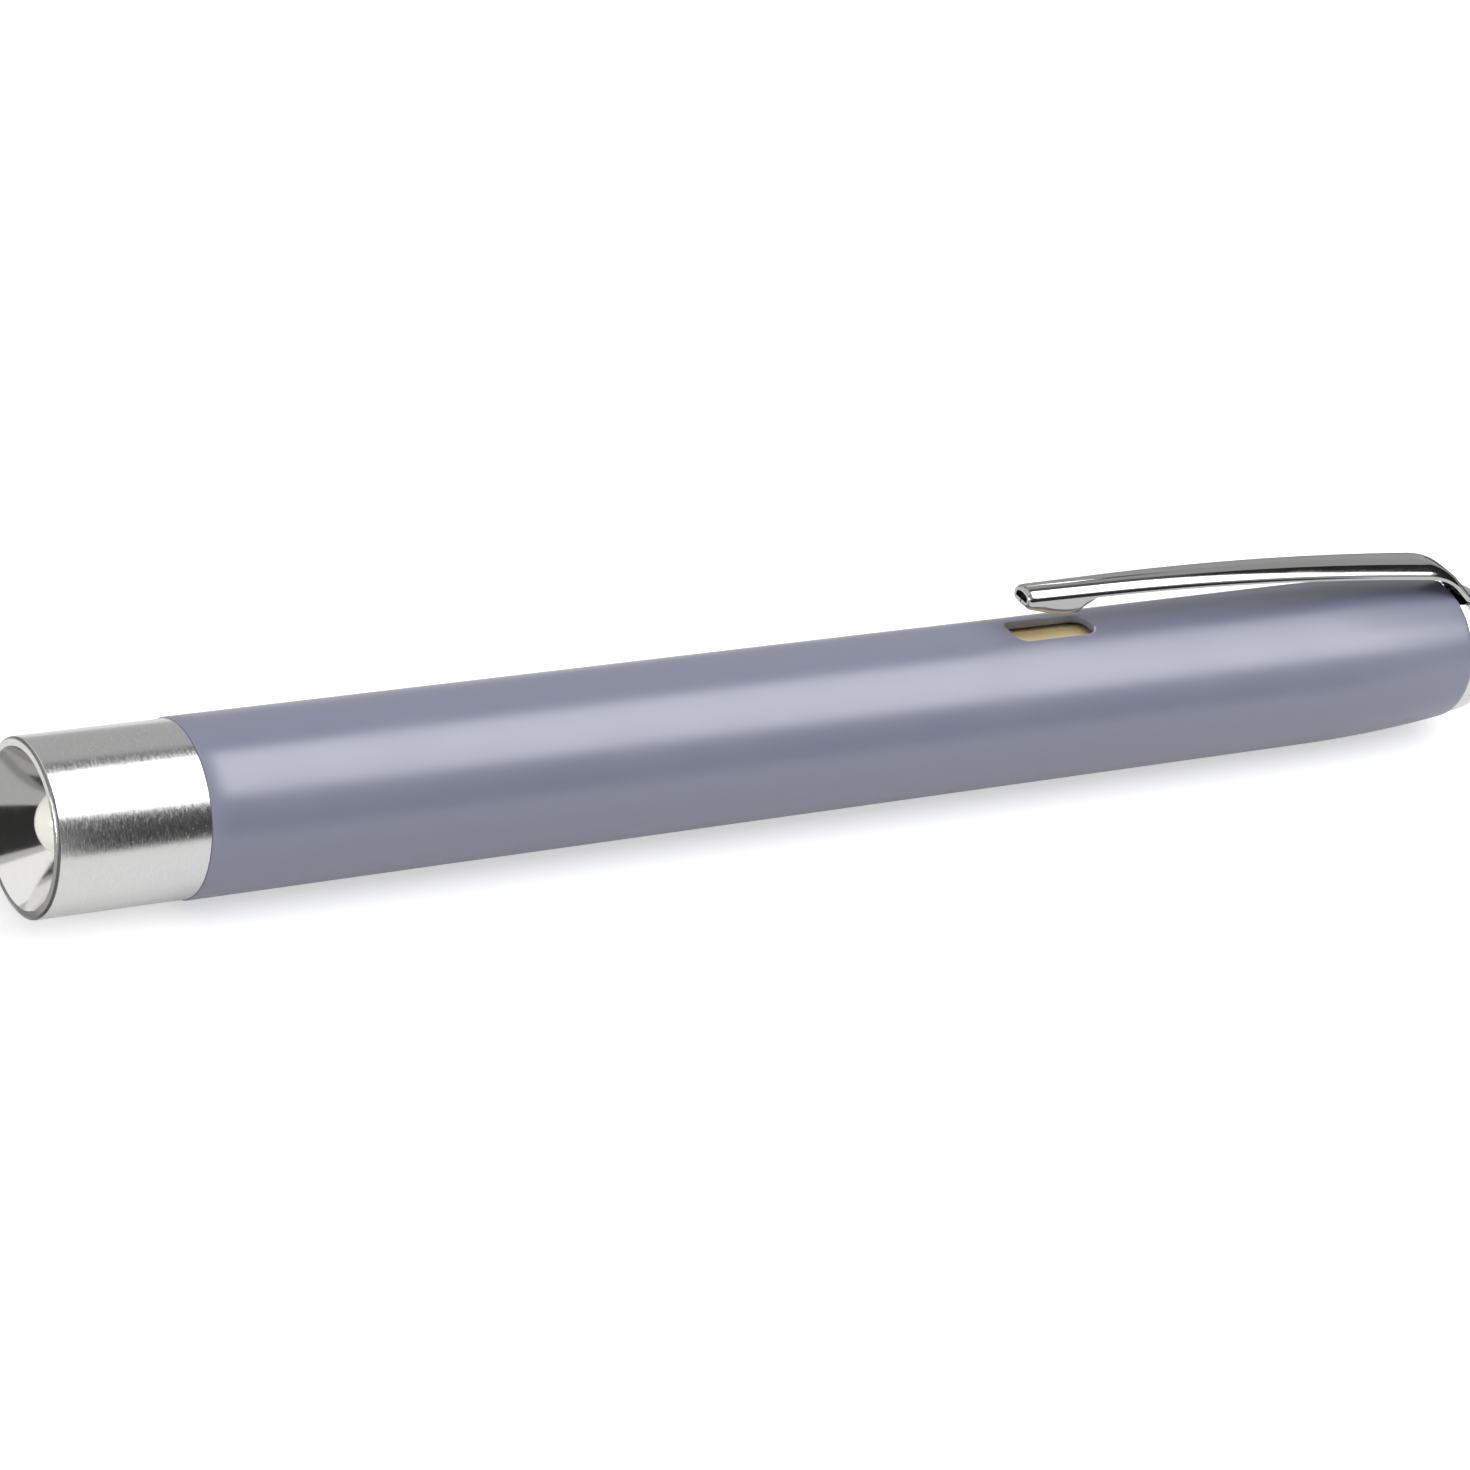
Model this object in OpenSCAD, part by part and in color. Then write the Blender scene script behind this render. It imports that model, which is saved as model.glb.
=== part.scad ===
// Clip-switch penlight: two AAA cells in a slim metal barrel, a screw-on lamp head with a conical
// reflector, and a pressed steel pocket clip whose nose closes the circuit through a slot.
// Lengths are in millimetres. The pen lies along X with the lamp at -X and the tail at +X, the clip
// is up at +Z, and the barrel lies on z = 0 with the middle of its length at x = 0.

/* [Cells] */
// Diameter of one AAA cell over its label
cell_d = 10.4; // [10:0.1:10.5]
// Length of one cell with its nub
cell_length = 44.5; // [43.3:0.1:44.5]
// Diameter of the positive nub
nub_d = 3.6; // [3:0.1:3.8]
// Height of the positive nub
nub_h = 1; // [0.8:0.1:1.4]
// Thickness of the printed label sleeve
label_t = 0.1; // [0.06:0.02:0.16]
// Diameter of the negative plate
cell_plate_d = 7.2; // [6:0.1:7.6]

/* [Barrel] */
// Wall of the barrel tube
barrel_wall = 0.7; // [0.6:0.05:1.2]
// Length of the rounded taper at the tail
taper_length = 14.5; // [10:0.5:20]
// How far the taper draws in from the tube's radius
taper_drop = 0.75; // [0.4:0.05:1]
// Wall round the tail plug at the barrel's end
tail_wall = 0.9; // [0.6:0.05:1.2]

/* [Lamp head] */
// Visible length of the head
head_length = 11.5; // [10.6:0.1:13]
// How far the head's surface lies under the barrel's
head_step = 0.1; // [0.05:0.05:0.3]
// Width of the front rim round the reflector
rim_width = 0.66; // [0.5:0.02:1]
// Bevel on the outer edge of the front rim
rim_bevel = 0.2; // [0.1:0.05:0.3]
// Depth of the reflector cone
cone_depth = 6.2; // [4:0.1:7.5]
// Wall of the threaded spigot
spigot_wall = 1.35; // [1:0.05:1.5]

/* [Lamp] */
// Diameter of the lamp's dome
led_d = 5; // [4.8:0.1:5.2]
// Height of the lamp from its base to the top of the dome
led_height = 8.7; // [8.2:0.1:9]
// Diameter of the flange at the lamp's base
led_flange_d = 5.8; // [5.6:0.1:6.2]
// Thickness of that flange
led_flange_t = 1; // [0.8:0.1:1.2]
// How far the top of the dome lies behind the front rim
led_recess = 1.25; // [0.8:0.05:1.8]
// Distance between the two leads
lead_pitch = 2.54; // [2.4:0.02:2.7]
// Width of one square lead
lead_w = 0.5; // [0.4:0.05:0.6]
// Length of the insulating bush behind the lamp
holder_length = 5.4; // [4.8:0.1:6.5]

/* [Switch] */
// Width of the slot in the barrel
slot_width = 2.9; // [2.7:0.1:3.4]
// Length of the slot
slot_length = 7.5; // [7.3:0.1:9]
// Width of the brass contact strip
strip_width = 4.6; // [3.8:0.1:5.6]
// Thickness of the contact strip
strip_t = 0.2; // [0.15:0.05:0.3]
// Wall of the insulating sleeve
sleeve_t = 0.2; // [0.15:0.05:0.3]

/* [Clip] */
// Distance from the clip's tip to the back of its foot
clip_reach = 45.95; // [45.4:0.05:52]
// Height of the clip's back over the barrel
clip_rise = 3.8; // [3.5:0.05:4.2]
// Thickness of the clip's sheet
clip_sheet = 0.45; // [0.4:0.05:0.5]
// Width of the clip at its tip
clip_tip_w = 2.4; // [2.2:0.1:2.6]
// Width of the clip at its root
clip_root_w = 3.8; // [3.2:0.1:4.2]
// Depth of the channel along the arm
channel_depth = 0.9; // [0.85:0.05:1.2]
// Depth of the channel at the open tip
tip_depth = 1.5; // [1.45:0.05:1.7]
// Depth from the clip's back to the lowest point of the contact nose
nose_depth = 2.5; // [2.3:0.05:2.7]
// Length of the contact nose along the arm
nose_length = 6.5; // [6.2:0.1:6.8]

/* [Tail] */
// Length of the tail spring as fitted
spring_length = 9.5; // [8:0.1:12]
// Thickness of the spring wire
spring_wire = 0.7; // [0.5:0.05:0.9]
// Number of turns in the spring
spring_turns = 5.5; // [4.5:0.5:6.5]
// Length of the tail plug inside the barrel
plug_length = 6; // [5:0.1:9]
// How far the tail cap's edge lies under the barrel's end
cap_step = 0.25; // [0.2:0.05:0.5]
// Straight edge of the tail cap before its dome
cap_land = 0.85; // [0.5:0.05:1.2]
// Length of the plug's boss inside the cap, up to the clip's ring
boss_length = 2.1; // [1.8:0.05:2.4]
// Diameter of the stud that the tail cap screws on
stud_d = 2.9; // [2.5:0.1:3.2]

/* [Hidden] */
$fn = 96;
// Sides used on the very large circle of the barrel's taper
taper_sides = 2880;

// Clearances, and the overrun of every cut
overrun = 1;
turned_gap = 0.05;
seat_gap = 0.02;
label_gap = 0.01;
cell_gap = 0.13;
strip_gap = 0.04;
sleeve_gap = 0.03;
shoulder_gap = 0.4;

// Radii from the axis outwards: cell, contact strip, insulating sleeve, barrel
cell_r = cell_d / 2;
strip_inner_r = cell_r + cell_gap;
strip_outer_r = strip_inner_r + strip_t;
sleeve_inner_r = strip_outer_r + strip_gap;
sleeve_outer_r = sleeve_inner_r + sleeve_t;
bore_r = sleeve_outer_r + sleeve_gap;
barrel_r = bore_r + barrel_wall;
tail_end_r = barrel_r - taper_drop;
tail_bore_r = tail_end_r - tail_wall;
plug_r = tail_bore_r - turned_gap;
head_r = barrel_r - head_step;
mouth_r = head_r - rim_width;
spigot_r = bore_r - turned_gap;
holder_bore_r = spigot_r - spigot_wall;
holder_r = holder_bore_r - turned_gap;
led_r = led_d / 2;
throat_r = led_r + turned_gap;
led_flange_r = led_flange_d / 2;
flange_bore_r = led_flange_r + turned_gap;
cap_r = tail_end_r - cap_step;

// Head details: relief groove behind the thread, bush, rivet and ring
relief_depth = 0.3;
relief_length = 0.8;
contact_disc_r = 2.6;
contact_disc_t = 0.5;
button_r = 1.6;
button_h = 1.5;
shank_r = 0.75;
shank_length = 2.4;
ring_inner_r = 2.9;
ring_length = 1.8;
spanner_slot_w = 1;
spanner_slot_depth = 0.6;

// Tail details: spring seat, plug, clip ring and the inside of the cap
strip_disc_t = 0.3;
seat_r = bore_r - turned_gap;
seat_flange_t = 0.75;
seat_boss_length = 2;
boss_r = 2.9;
stud_length = 1.7;
stud_gap = 0.1;
clip_ring_r = 3.7;
ring_proud = 0.02;
cap_mouth_wall = 0.8;
cap_mouth_depth = 1.3;
cap_seat_r = 3.9;
notch_gap = 0.15;

// Stations along the axis, counted from the front rim
led_back_s = led_recess + led_height;
flange_front_s = led_back_s - led_flange_t;
holder_s = led_back_s + seat_gap;
holder_end_s = holder_s + holder_length;
contact_disc_s = holder_end_s + seat_gap;
contact_tip_s = contact_disc_s + contact_disc_t + button_h;
spigot_end_s = contact_tip_s + nub_h - shoulder_gap;
front_cell_s = contact_tip_s + seat_gap;
rear_cell_s = front_cell_s + cell_length + seat_gap;
cells_end_s = rear_cell_s + cell_length;
strip_disc_s = cells_end_s + spring_length;
seat_s = strip_disc_s + strip_disc_t + seat_gap;
bore_step_s = seat_s + seat_flange_t + seat_gap;
plug_s = bore_step_s + seat_boss_length + seat_gap;
barrel_end_s = plug_s + plug_length;
barrel_s = head_length + seat_gap;
taper_s = barrel_end_s - taper_length;
cap_s = barrel_end_s + turned_gap;
dome_s = cap_s + cap_land;
total_length = dome_s + cap_r;
ring_s = barrel_end_s + boss_length + seat_gap;
ring_back_s = ring_s + clip_sheet + 2 * ring_proud;
foot_back_s = ring_back_s - ring_proud;
stud_end_s = ring_back_s + stud_length;
clip_tip_s = foot_back_s - clip_reach;

// Slot in the barrel, the window under it in the sleeve, and the strip's bare end
slot_lead = 0.3;
slot_corner_r = 0.5;
window_margin = 0.4;
strip_lead = 2.5;
slot_s = clip_tip_s - slot_lead;
slot_end_s = slot_s + slot_length;
strip_s = slot_s - strip_lead;
sleeve_s = front_cell_s + nub_h;

// Rounded outline of the barrel's taper: one arc, tangent to the tube
taper_arc_r = (taper_length * taper_length + taper_drop * taper_drop) / (2 * taper_drop);
barrel_edge = 0.12;

// Bends of the clip, met from the tip to the ring
arch_r = 315;
arch_angle = 5.85;
knee_r = 7;
ramp_angle = 41;
foot_r = 1.5;
foot_rise = 0.44;
root_split = 0.08;
clip_edge_r = 0.75;
tip_edge_r = 0.25;
clip_crown = 0.04;
strap_depth = 0.7;
strap_edge_r = 0.5;
clip_slit = 0.3;
nose_curl_r = 0.95;
curl_depth_share = 0.75;
nose_low_share = 0.66;
nose_flat_share = 0.74;
clip_back_z = barrel_r + clip_rise;
foot_z = clip_ring_r + foot_rise;
ramp_drop = clip_back_z - foot_z - foot_r * cos(ramp_angle)
    - knee_r * (cos(arch_angle) - cos(ramp_angle)) - arch_r * (1 - cos(arch_angle));
ramp_length = ramp_drop / sin(ramp_angle);
arm_straight = clip_reach - arch_r * sin(arch_angle) - knee_r * (sin(ramp_angle) - sin(arch_angle))
    - ramp_length * cos(ramp_angle) - foot_r * (1 - sin(ramp_angle));
arch_s = clip_tip_s + arm_straight;
knee_s = arch_s + arch_r * sin(arch_angle);
knee_z = clip_back_z - arch_r * (1 - cos(arch_angle));
ramp_s = knee_s + knee_r * (sin(ramp_angle) - sin(arch_angle));
ramp_z = knee_z - knee_r * (cos(arch_angle) - cos(ramp_angle));
arm_length = knee_s - clip_tip_s;

// How finely the clip and the spring are divided
nose_steps = 18;
tip_steps = 3;
arch_steps = 10;
knee_steps = 6;
foot_steps = 6;
curl_steps = 4;
edge_steps = 5;
spring_rings = 8;
wire_sides = 6;

// Spring: wide at the seat and narrow at the cell
spring_seat_r = 4.1;
spring_cell_r = 2.6;

// Details of the cells
can_r = cell_r - label_t;
crimp_depth = 1.2;
crimp_wall = 0.4;
crimp_inset = 0.25;
label_inset = 0.5;
seal_inset = 0.2;
plate_r = cell_plate_d / 2;
plate_lip = 0.35;
plate_lip_t = 0.4;

// Details inside the lamp
cup_r = 0.95;
cup_h = 0.9;
cup_place_share = 1.6;
cup_s = led_recess + led_r * cup_place_share;
cup_wall = 0.2;
cup_bite = 0.5;
chip_h = 0.35;
anvil_h = 1.2;
post_bend = 0.35;
cathode_reach = 2.1;
cathode_s = holder_s + cathode_reach;
lens_flat = 0.25;
lead_gap = 0.05;
hole_w = lead_w + 2 * lead_gap;

// Places a shape made along +Z at a station on the pen's axis, pointing to the tail
module at_station(s)
{
    translate([s - total_length / 2, 0, barrel_r])
        rotate([0, 90, 0])
            children();
}

// Solid rod between two stations
module rod(from_s, to_s, r)
{
    at_station(from_s)
        cylinder(r = r, h = to_s - from_s);
}

// Tube between two stations
module tube(from_s, to_s, outer_r, inner_r)
{
    difference() {
        rod(from_s, to_s, outer_r);
        rod(from_s - overrun, to_s + overrun, inner_r);
    }
}

// Upright block between two stations: from y0 to y1 across, and from z0 to z1 off the axis
module block(from_s, to_s, y0, y1, z0, z1)
{
    translate([from_s - total_length / 2, y0, barrel_r + z0])
        cube([to_s - from_s, y1 - y0, z1 - z0]);
}

// Lead or bar of the lamp's square wire, centred on z = 0
module lead_bar(from_s, to_s, y0, y1, w = lead_w)
{
    block(from_s, to_s, y0, y1, -w / 2, w / 2);
}

// Lamp head: turned in one piece, polished cone in front and thread spigot behind
module reflector_head()
{
    relief_r = spigot_r - relief_depth;
    color([0.86, 0.86, 0.84])
        at_station(0)
            rotate_extrude()
                polygon([
                    [mouth_r, 0],
                    [head_r - rim_bevel, 0],
                    [head_r, rim_bevel],
                    [head_r, head_length],
                    [relief_r, head_length],
                    [relief_r, head_length + relief_length],
                    [spigot_r, head_length + relief_length + relief_depth],
                    [spigot_r, spigot_end_s - relief_depth],
                    [spigot_r - relief_depth, spigot_end_s],
                    [holder_bore_r, spigot_end_s],
                    [holder_bore_r, led_back_s],
                    [flange_bore_r, led_back_s],
                    [flange_bore_r, flange_front_s - seat_gap],
                    [throat_r, flange_front_s - seat_gap],
                    [throat_r, cone_depth]
                ]);
}

// Clear epoxy body of the lamp, cast round the lead frame
module led_lens()
{
    color([0.93, 0.93, 0.86, 0.6])
        difference() {
            union() {
                at_station(led_recess + led_r)
                    sphere(r = led_r);
                rod(led_recess + led_r, led_back_s, led_r);
                difference() {
                    rod(flange_front_s, led_back_s, led_flange_r);
                    block(flange_front_s - overrun, led_back_s + overrun,
                        -led_flange_r - overrun, lens_flat - led_flange_r,
                        -led_flange_r, led_flange_r);
                }
            }
            cathode_frame();
            anode_frame();
            rod(cup_s - chip_h, cup_s + cup_bite, cup_r - cup_wall);
        }
}

// Outline of the cathode: cup, anvil and lead, with the lead's foot turned out to the head's bore
module cathode_frame()
{
    lead_y = lead_pitch / 2;
    anvil_s = cup_s + cup_h;
    rod(cup_s, anvil_s, cup_r);
    lead_bar(anvil_s - cup_wall, anvil_s + anvil_h, -lead_y - lead_w / 2, lead_w / 2);
    lead_bar(anvil_s, cathode_s + lead_w, -lead_y - lead_w / 2, -lead_y + lead_w / 2);
    lead_bar(cathode_s, cathode_s + lead_w, -holder_r, -lead_y);
}

// Outline of the anode: post with a bent top, and a lead whose foot lies under the rivet
module anode_frame()
{
    lead_y = lead_pitch / 2;
    post_s = cup_s + post_bend;
    foot_y = shank_r + lead_gap;
    lead_bar(post_s, post_s + lead_w, lead_y - lead_w / 2 - lead_gap, lead_y);
    lead_bar(post_s, holder_end_s, lead_y - lead_w / 2, lead_y + lead_w / 2);
    lead_bar(holder_end_s - lead_w, holder_end_s, foot_y, lead_y);
}

// Cathode of the lamp with its dished cup
module led_cathode()
{
    color("lightgray")
        difference() {
            cathode_frame();
            rod(cup_s - overrun, cup_s + cup_bite, cup_r - cup_wall);
        }
}

// Anode post of the lamp
module led_anode()
{
    color("lightgray")
        anode_frame();
}

// Phosphor-coated chip in the cup
module led_chip()
{
    color("khaki")
        rod(cup_s - chip_h, cup_s + cup_bite, cup_r - cup_wall);
}

// Insulating bush that presses the lamp's flange into its seat and carries the rivet
module led_holder()
{
    lead_y = lead_pitch / 2;
    color("whitesmoke")
        difference() {
            rod(holder_s, holder_end_s, holder_r);
            lead_bar(holder_s - overrun, holder_end_s + overrun,
                lead_y - hole_w / 2, lead_y + hole_w / 2, hole_w);
            lead_bar(holder_end_s - lead_w - lead_gap, holder_end_s + overrun,
                0, lead_y + hole_w / 2, hole_w);
            lead_bar(holder_s - overrun, cathode_s + lead_w + lead_gap,
                -lead_y - hole_w / 2, -lead_y + hole_w / 2, hole_w);
            lead_bar(cathode_s - lead_gap, cathode_s + lead_w + lead_gap,
                -holder_r - overrun, -lead_y + hole_w / 2, hole_w);
            rod(holder_end_s - shank_length - lead_gap, holder_end_s + overrun, shank_r + lead_gap);
        }
}

// Brass rivet that meets the front cell's nub
module centre_contact()
{
    color("goldenrod") {
        union() {
            rod(contact_disc_s - shank_length, contact_disc_s + contact_disc_t, shank_r);
            rod(contact_disc_s, contact_disc_s + contact_disc_t, contact_disc_r);
            rod(contact_disc_s + contact_disc_t / 2, contact_tip_s, button_r);
        }
    }
}

// Brass ring that holds the bush in the spigot, with two slots for a pin spanner
module retaining_ring()
{
    ring_end_s = contact_disc_s + ring_length;
    color("darkgoldenrod")
        difference() {
            tube(contact_disc_s, ring_end_s, holder_r, ring_inner_r);
            block(ring_end_s - spanner_slot_depth, ring_end_s + overrun,
                -holder_r - overrun, holder_r + overrun,
                -spanner_slot_w / 2, spanner_slot_w / 2);
        }
}

// Steel can of a cell, drawn in one piece with its positive nub
module cell_can(s)
{
    shoulder_s = s + nub_h;
    end_s = s + cell_length - crimp_inset;
    color("silver")
        difference() {
            union() {
                rod(s, shoulder_s + nub_h, nub_d / 2);
                rod(shoulder_s, end_s, can_r);
            }
            rod(end_s - crimp_depth, end_s + overrun, can_r - crimp_wall);
        }
}

// Printed plastic sleeve shrunk round a cell
module cell_label(s)
{
    color("darkslategray")
        tube(s + nub_h + label_inset, s + cell_length - label_inset, cell_r, can_r + label_gap);
}

// Plastic ring that seals the negative end of a cell
module cell_seal(s)
{
    can_end_s = s + cell_length - crimp_inset;
    color("dimgray")
        difference() {
            tube(can_end_s - crimp_depth + seat_gap, s + cell_length - seal_inset,
                can_r - crimp_wall - seat_gap, plate_r - plate_lip + seat_gap);
            rod(can_end_s - crimp_depth + seat_gap + plate_lip_t, s + cell_length, plate_r + seat_gap);
        }
}

// Negative end plate of a cell, stepped where the seal grips it
module cell_plate(s)
{
    seal_s = s + cell_length - crimp_inset - crimp_depth + seat_gap;
    color("lightgray")
        union() {
            rod(seal_s, seal_s + 2 * plate_lip_t, plate_r - plate_lip);
            rod(seal_s + plate_lip_t + seat_gap, s + cell_length, plate_r);
        }
}

module front_cell_can() { cell_can(front_cell_s); }
module front_cell_label() { cell_label(front_cell_s); }
module front_cell_seal() { cell_seal(front_cell_s); }
module front_cell_plate() { cell_plate(front_cell_s); }
module rear_cell_can() { cell_can(rear_cell_s); }
module rear_cell_label() { cell_label(rear_cell_s); }
module rear_cell_seal() { cell_seal(rear_cell_s); }
module rear_cell_plate() { cell_plate(rear_cell_s); }

// Outline of the barrel's outside over half its section: straight tube, then one tangent arc
module barrel_outline()
{
    square([barrel_r, taper_s - barrel_s]);
    translate([0, taper_s - barrel_s])
        intersection() {
            translate([0, -overrun])
                square([barrel_r, taper_length + overrun]);
            translate([barrel_r - taper_arc_r, 0])
                circle(r = taper_arc_r, $fn = taper_sides);
        }
}

// Slot with rounded corners, cut down through the top of a wall
module top_slot(from_s, to_s, w, low_z)
{
    length = to_s - from_s;
    reach = barrel_r + overrun - low_z;
    translate([from_s - total_length / 2, 0, barrel_r + low_z])
        linear_extrude(height = reach)
            union() {
                translate([slot_corner_r, -w / 2])
                    square([length - 2 * slot_corner_r, w]);
                translate([0, slot_corner_r - w / 2])
                    square([length, w - 2 * slot_corner_r]);
                for (x = [slot_corner_r, length - slot_corner_r], side = [-1, 1])
                    translate([x, side * (w / 2 - slot_corner_r)])
                        circle(r = slot_corner_r);
            }
}

// Lacquered tube with a tapered tail, an inner step for the spring seat, and the switch slot
module barrel()
{
    front_r = barrel_r - barrel_edge;
    color([0.5, 0.52, 0.58])
        difference() {
            at_station(barrel_s)
                rotate_extrude()
                    barrel_outline();
            rod(barrel_s - overrun, bore_step_s, bore_r);
            rod(bore_step_s - overrun, barrel_end_s + overrun, tail_bore_r);
            at_station(barrel_s)
                rotate_extrude()
                    polygon([
                        [front_r, 0],
                        [barrel_r + overrun, 0],
                        [barrel_r + overrun, barrel_edge + overrun],
                        [barrel_r, barrel_edge]
                    ]);
            top_slot(slot_s, slot_end_s, slot_width, 0);
        }
}

// Fibre sleeve that keeps the cells and the strip off the barrel, with a window under the slot
module insulating_sleeve()
{
    color("burlywood")
        difference() {
            tube(sleeve_s, seat_s - seat_gap, sleeve_outer_r, sleeve_inner_r);
            top_slot(slot_s - window_margin, slot_end_s + window_margin,
                slot_width + 2 * window_margin, 0);
        }
}

// Brass strip along the rear cell, with a disc at its end that the spring stands on
module contact_strip()
{
    color([0.7, 0.64, 0.52])
        union() {
            intersection() {
                tube(strip_s, strip_disc_s + strip_disc_t, strip_outer_r, strip_inner_r);
                block(strip_s - overrun, seat_s, -strip_width / 2, strip_width / 2, 0, barrel_r);
            }
            rod(strip_disc_s, strip_disc_s + strip_disc_t, strip_outer_r);
        }
}

// Insulating seat that carries the strip's disc on the step of the bore
module spring_seat()
{
    color("whitesmoke")
        union() {
            rod(seat_s, seat_s + seat_flange_t, seat_r);
            rod(seat_s + seat_flange_t / 2, plug_s - seat_gap, plug_r);
        }
}

// Point on the middle line of the spring after a number of turns, from the seat to the cell
function spring_point(turn) =
    let (
        along = turn / spring_turns,
        r = spring_seat_r + (spring_cell_r - spring_seat_r) * along,
        rise = spring_length - spring_wire - 2 * seat_gap,
        s = strip_disc_s - seat_gap - spring_wire / 2 - rise * along
    )
    [s - total_length / 2, r * cos(360 * turn), barrel_r + r * sin(360 * turn)];

// Ring of points round the spring wire, square to its run
function wire_ring(turn) =
    let (
        step = 1 / (spring_rings * wire_sides),
        run = spring_point(turn + step) - spring_point(turn - step),
        out = [0, cos(360 * turn), sin(360 * turn)],
        flat = cross(run, out),
        side = flat / norm(flat),
        rest = cross(side, run),
        up = rest / norm(rest)
    )
    [for (k = [0 : wire_sides - 1])
        spring_point(turn) + spring_wire / 2 * (cos(360 * k / wire_sides) * up
            + sin(360 * k / wire_sides) * side)];

// Closed skin over rings of points, all of the same even count: each end is capped by a strip that
// joins the first half of its ring to the second, so a section may be a channel
module skin(rings)
{
    count = len(rings[0]);
    last = (len(rings) - 1) * count;
    strip = [0 : count / 2 - 2];
    polyhedron(
        points = [for (ring = rings) for (p = ring) p],
        faces = concat(
            [for (i = strip) [i, i + 1, count - 2 - i]],
            [for (i = strip) [i, count - 2 - i, count - 1 - i]],
            [for (i = strip) [last + count - 2 - i, last + i + 1, last + i]],
            [for (i = strip) [last + count - 1 - i, last + count - 2 - i, last + i]],
            [for (k = [0 : len(rings) - 2]) for (i = [0 : count - 1])
                let (j = (i + 1) % count)
                [k * count + i, (k + 1) * count + i, (k + 1) * count + j]],
            [for (k = [0 : len(rings) - 2]) for (i = [0 : count - 1])
                let (j = (i + 1) % count)
                [k * count + i, (k + 1) * count + j, k * count + j]]
        )
    );
}

// Conical contact spring, wound as one unbroken wire
module tail_spring()
{
    turns = [for (i = [0 : spring_turns * spring_rings]) i / spring_rings];
    color("silver")
        skin([for (turn = turns) wire_ring(turn)]);
    gaps = [for (a = turns) for (b = turns) if (b - a > 1 / 2) norm(spring_point(a) - spring_point(b))];
    echo(least_spring_gap = min(gaps) - spring_wire);
}

// Turned plug pressed into the barrel's end, with a boss and a stud for the cap
module tail_plug()
{
    color("lightgray")
        union() {
            rod(plug_s, barrel_end_s, plug_r);
            rod(barrel_end_s - boss_length, ring_s - seat_gap, boss_r);
            rod(barrel_end_s, stud_end_s, stud_d / 2);
        }
}

// Domed cap that screws on the stud and clamps the clip's ring, notched where the clip goes in
module tail_cap()
{
    clamp_s = ring_back_s + seat_gap;
    notch_w = clip_root_w + 2 * notch_gap;
    color([0.82, 0.82, 0.82])
        difference() {
            union() {
                rod(cap_s, dome_s, cap_r);
                intersection() {
                    at_station(dome_s)
                        sphere(r = cap_r);
                    rod(dome_s - cap_land / 2, total_length, cap_r);
                }
            }
            rod(cap_s - overrun, cap_s + cap_mouth_depth, cap_r - cap_mouth_wall);
            rod(cap_s, clamp_s, cap_seat_r);
            rod(clamp_s - overrun, stud_end_s + stud_gap, stud_d / 2 + turned_gap);
            block(cap_s - overrun, clamp_s, -notch_w / 2, notch_w / 2, boss_r, barrel_r);
        }
}

// Smooth step from 0 to 1
function ease(t) = (1 - cos(180 * t)) / 2;

// Depth of the clip's channel at a distance from its tip, through the contact nose and on
function nose_depth_at(u) =
    let (
        low = nose_length * nose_low_share,
        flat = nose_length * nose_flat_share
    )
    u < low ? tip_depth + (nose_depth - tip_depth) * sin(90 * u / low)
    : u < flat ? nose_depth
    : nose_depth + (channel_depth - nose_depth) * ease((u - flat) / (nose_length - flat));

// How far the channel's edges are curled together there, from 1 to 0
function curl_at(u) =
    let (flat = nose_length * nose_flat_share)
    u < flat ? 1 : 1 - ease((u - flat) / (nose_length - flat));

// Half of the clip's section from an edge to its back, drawn in by an inset for the inner side
function half_section(half_w, depth, edge_r, curl, inset) =
    let (curl_r = min(nose_curl_r, (depth - edge_r) * curl_depth_share))
    concat(
        [for (j = [0 : curl_steps + 1])
            let (
                turn = 90 * (1 - max(j - 1, 0) / curl_steps),
                plain = [half_w - inset, curl_r * j / (curl_steps + 1) - depth],
                round_in = [
                    half_w - curl_r + (curl_r - inset) * cos(turn),
                    curl_r - depth - (curl_r - inset) * sin(turn)
                ],
                closed = j == 0 ? [clip_slit / 2, inset - depth] : round_in
            )
            plain + (closed - plain) * curl],
        [for (k = [0 : edge_steps])
            let (turn = 90 * k / edge_steps)
            [
                half_w - edge_r + (edge_r - inset) * cos(turn),
                (edge_r - inset) * sin(turn) - edge_r
            ]]
    );

// Whole section of the clip: over the back on the outside, trimmed there, and back again on the inside
function clip_section(half_w, depth, edge_r, curl, crown, trim) =
    let (
        outer = half_section(half_w, depth, edge_r, curl, trim),
        inner = half_section(half_w, depth, edge_r, curl, clip_sheet),
        last = len(outer) - 1
    )
    concat(
        outer,
        crown > 0 ? [[0, crown - trim]] : [],
        [for (i = [last : -1 : 0]) [-outer[i][0], outer[i][1]]],
        [for (p = inner) [-p[0], p[1]]],
        crown > 0 ? [[0, crown - clip_sheet]] : [],
        [for (i = [last : -1 : 0]) inner[i]]
    );

// Section set across the clip's run, at a place and height on its back and a slope down to the tail
function across_clip(s, z, slope, section) =
    [for (p = section)
        [s + p[1] * sin(slope) - total_length / 2, p[0], barrel_r + z + p[1] * cos(slope)]];

// Section of the arm, wider towards the root
function arm_ring(s, z, slope, depth, curl, trim) =
    let (half_w = (clip_tip_w + (clip_root_w - clip_tip_w) * (s - clip_tip_s) / arm_length) / 2)
    across_clip(s, z, slope, clip_section(half_w, depth, clip_edge_r, curl, clip_crown, trim));

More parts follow.
